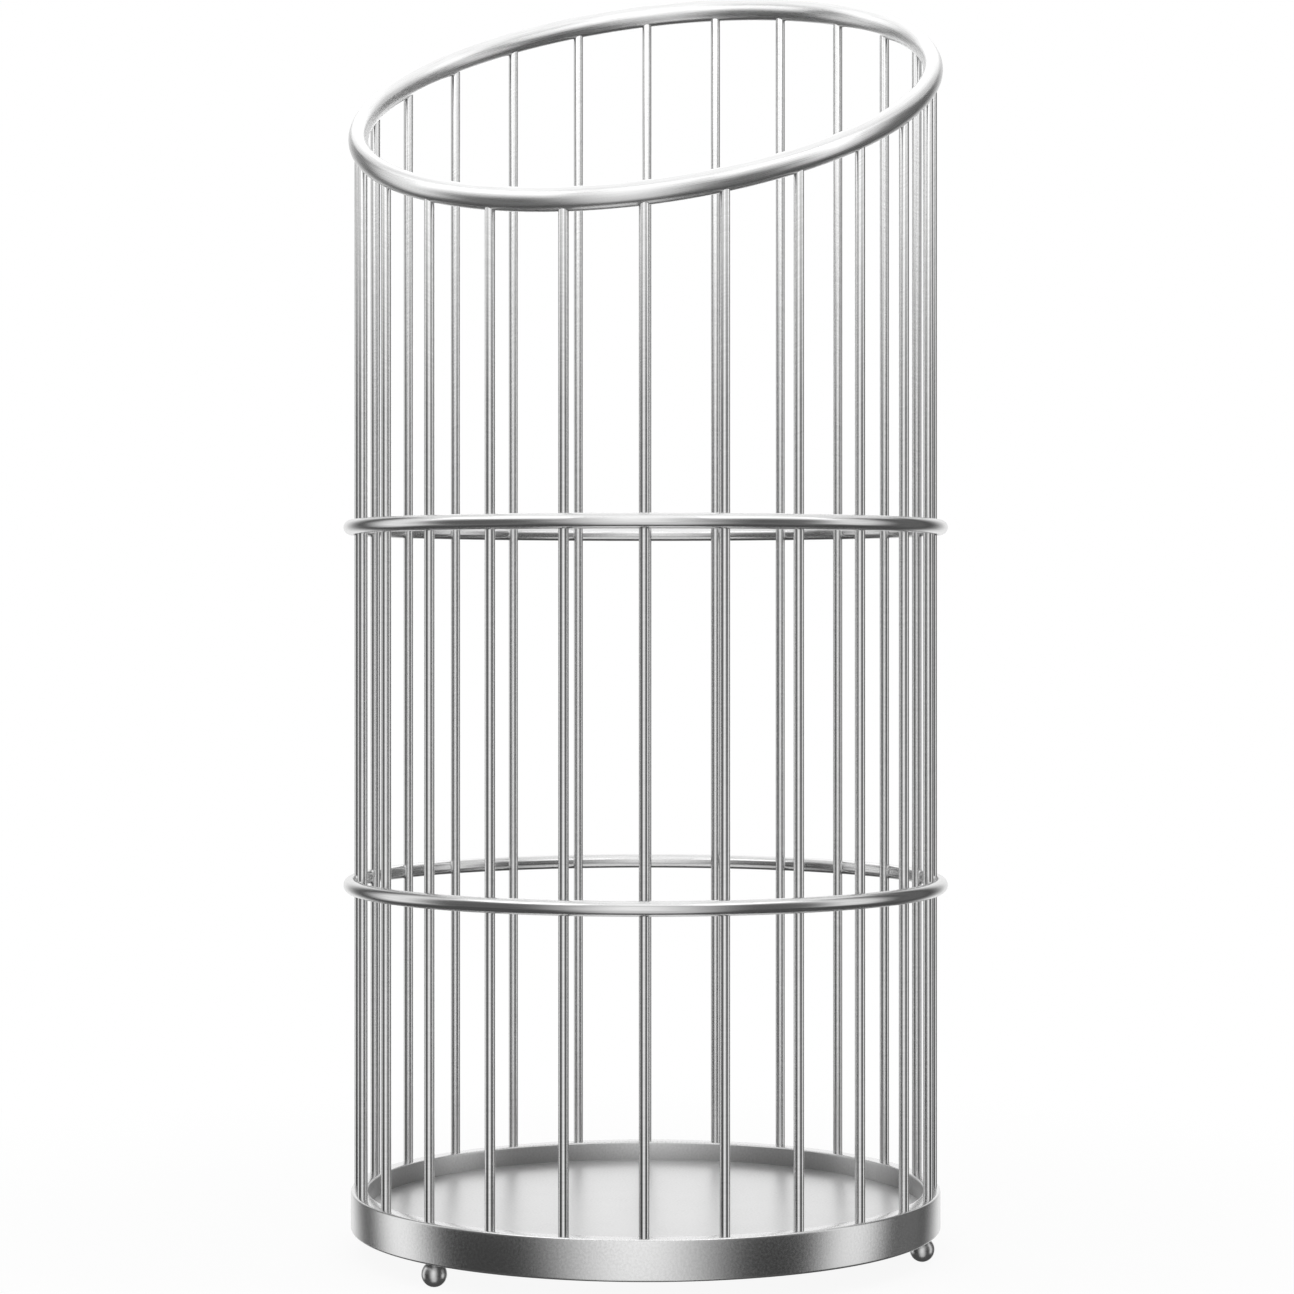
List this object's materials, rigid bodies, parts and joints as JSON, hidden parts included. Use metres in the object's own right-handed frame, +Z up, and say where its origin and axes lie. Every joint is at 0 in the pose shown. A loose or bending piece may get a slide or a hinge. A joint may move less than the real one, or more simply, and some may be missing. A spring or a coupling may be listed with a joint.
{
  "type": "umbrella stand",
  "caption": "Cylindrical wire umbrella stand in satin steel: upright rods and round hoops under a slanted oval rim, on a round drip tray with ball feet.",
  "frame": {"origin": "on the floor, on the axis of the round cage, at the height of the lowest points of the ball feet", "axes": "+Z up along the cage's axis, -Y towards the front where the rim is lowest, +Y towards the back where it is highest, +X to the right as seen from the front"},
  "size_m": [0.246, 0.246, 0.5298],
  "materials": {
    "satin_bar": "satin, fine grain along the bar",
    "satin_sheet": "satin, fine even grain",
    "polished_ball": "polished",
    "plated_nut": "zinc plated"
  },
  "bodies": {
    "root": {"top_rim": "satin_bar", "upper_hoop": "satin_bar", "lower_hoop": "satin_bar", "rod_01": "satin_bar", "rod_02": "satin_bar", "rod_03": "satin_bar", "rod_04": "satin_bar", "rod_05": "satin_bar", "rod_06": "satin_bar", "rod_07": "satin_bar", "rod_08": "satin_bar", "rod_09": "satin_bar", "rod_10": "satin_bar", "rod_11": "satin_bar", "rod_12": "satin_bar", "rod_13": "satin_bar", "rod_14": "satin_bar", "rod_15": "satin_bar", "rod_16": "satin_bar", "rod_17": "satin_bar", "rod_18": "satin_bar", "rod_19": "satin_bar", "rod_20": "satin_bar", "rod_21": "satin_bar", "rod_22": "satin_bar", "rod_23": "satin_bar", "rod_24": "satin_bar", "base_tray": "satin_sheet", "ball_foot_1": "polished_ball", "ball_foot_2": "polished_ball", "ball_foot_3": "polished_ball", "foot_nut_1": "plated_nut", "foot_nut_2": "plated_nut", "foot_nut_3": "plated_nut"}
  },
  "joints": []
}
